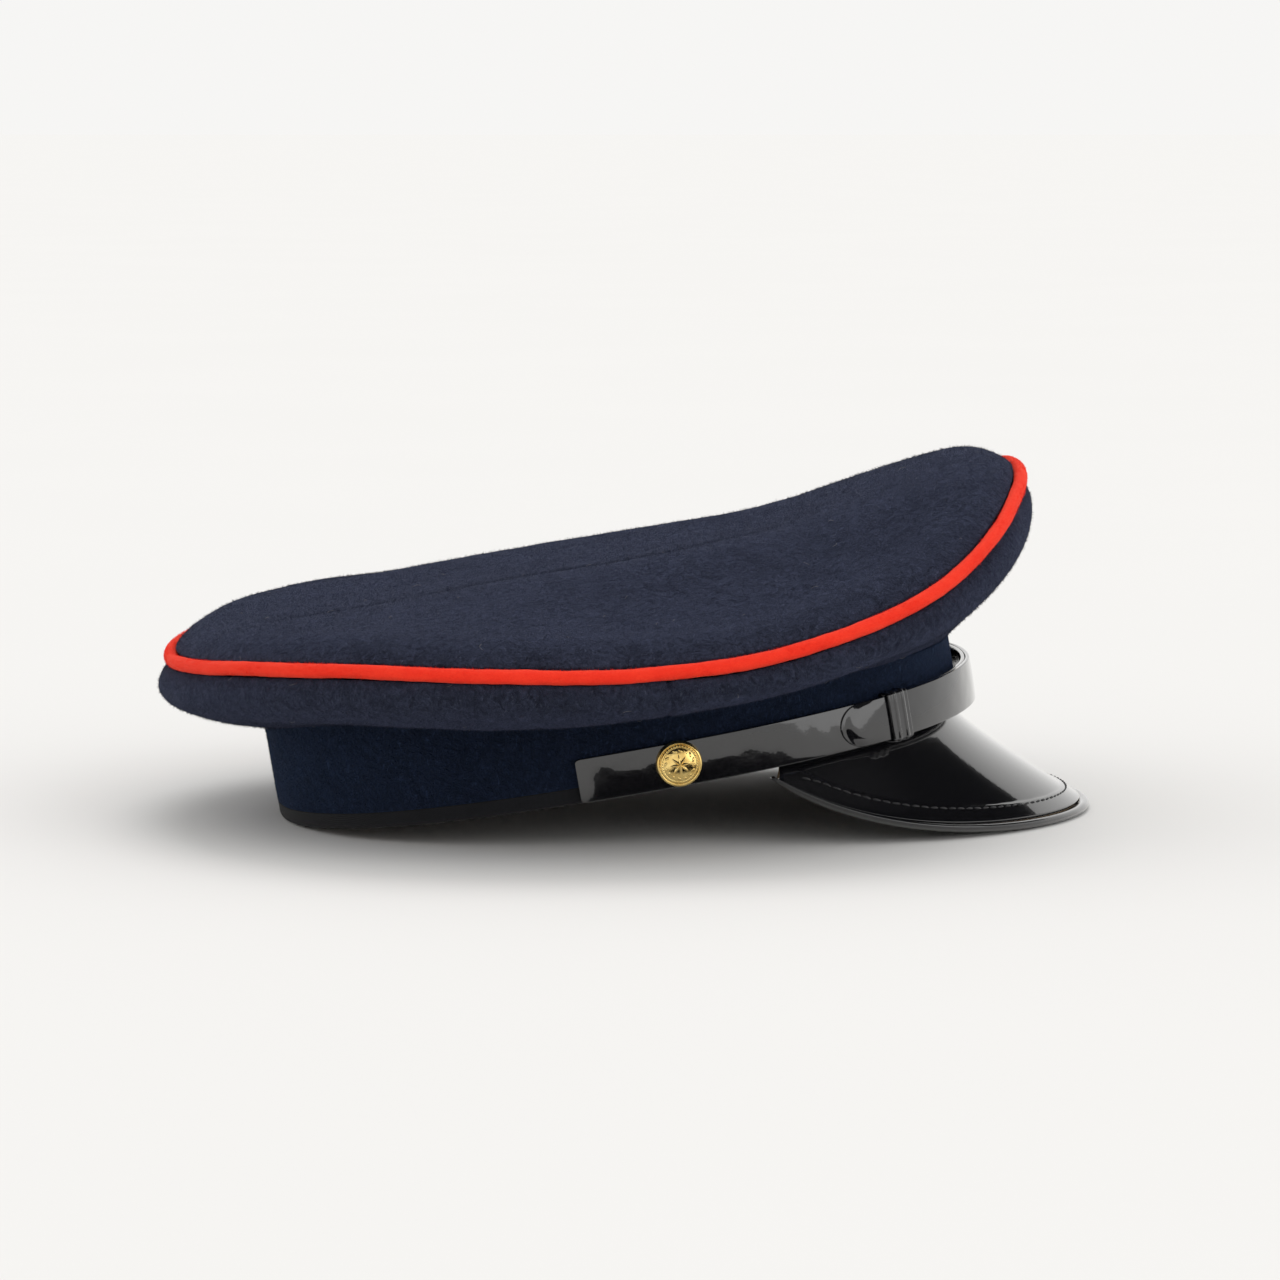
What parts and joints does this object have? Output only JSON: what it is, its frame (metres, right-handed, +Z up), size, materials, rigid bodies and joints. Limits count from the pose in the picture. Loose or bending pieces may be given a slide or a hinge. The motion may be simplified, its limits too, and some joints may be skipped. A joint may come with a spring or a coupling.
{
  "type": "military peaked cap",
  "caption": "Oval wool peaked cap with a piped crown, upright band, patent peak and chin strap held by gilt side buttons.",
  "frame": {"origin": "on the surface that the cap rests on, below the middle of its length and width", "axes": "+X towards the peak, +Y to the wearer's left, +Z up"},
  "size_m": [0.2885, 0.2458, 0.1117],
  "materials": {
    "crown_cloth": "fuzzy wool melton",
    "scarlet_felt": "felt over cord",
    "band_cloth": "wool",
    "steel_wire": "satin",
    "brass": "satin",
    "wadding": "soft",
    "stay_plastic": "matte",
    "lining_satin": "satin",
    "clear_sheet": "clear",
    "buckram": "stiffened canvas",
    "welt_tape": "ribbed tape",
    "sweat_leather": "smooth",
    "bow_tape": "ribbon",
    "foam": "foam",
    "peak_board": "fibre board",
    "patent": "patent, high gloss",
    "peak_underside": "grained",
    "gilt": "polished gilt"
  },
  "bodies": {
    "cap": {"crown_top_panel": "crown_cloth", "quarter_front_right": "crown_cloth", "quarter_front_left": "crown_cloth", "quarter_rear_right": "crown_cloth", "quarter_rear_left": "crown_cloth", "crown_piping": "scarlet_felt", "crown_wire": "steel_wire", "crown_wire_ferrule": "brass", "crown_padding": "wadding", "front_stay": "stay_plastic", "tip_lining": "lining_satin", "side_lining": "lining_satin", "sweat_shield": "clear_sheet", "band_cloth": "band_cloth", "band_stiffener": "buckram", "band_welt": "welt_tape", "sweatband": "sweat_leather", "sweatband_reed": "sweat_leather", "sweatband_bow": "bow_tape", "forehead_pad": "foam", "peak_board": "peak_board", "peak_patent": "patent", "peak_lining": "peak_underside", "peak_binding": "patent", "badge_plate": "gilt", "badge_rim": "gilt", "badge_star": "gilt", "badge_ball": "gilt", "badge_lugs": "gilt", "badge_pin": "steel_wire"},
    "chin_strap": {"strap_right": "patent", "strap_left": "patent"},
    "keeper_right": {"keeper_right": "patent"},
    "keeper_left": {"keeper_left": "patent"},
    "button_right": {"button_dome_right": "gilt", "button_back_right": "gilt", "button_shank_right": "gilt", "split_ring_right": "steel_wire"},
    "button_left": {"button_dome_left": "gilt", "button_back_left": "gilt", "button_shank_left": "gilt", "split_ring_left": "steel_wire"}
  },
  "joints": [
    {"name": "chin_strap_swing", "type": "hinge", "parent": "cap", "child": "chin_strap", "pos_m": [0.00778, 0, 0.0263], "axis": [0, -1, 0], "range_deg": [-2.5, 4]},
    {"name": "keeper_right_slide", "type": "slide", "parent": "chin_strap", "child": "keeper_right", "axis": [0.785, 0.6054, 0.1314], "range_m": [-0.003, 0.003]},
    {"name": "keeper_left_slide", "type": "slide", "parent": "chin_strap", "child": "keeper_left", "axis": [0.785, -0.6054, 0.1314], "range_m": [-0.003, 0.003]},
    {"name": "button_right_spin", "type": "hinge", "parent": "cap", "child": "button_right", "pos_m": [0.00778, 0, 0.0263], "axis": [0, -1, 0], "continuous": true},
    {"name": "button_left_spin", "type": "hinge", "parent": "cap", "child": "button_left", "pos_m": [0.00778, 0, 0.0263], "axis": [0, 1, 0], "continuous": true}
  ]
}
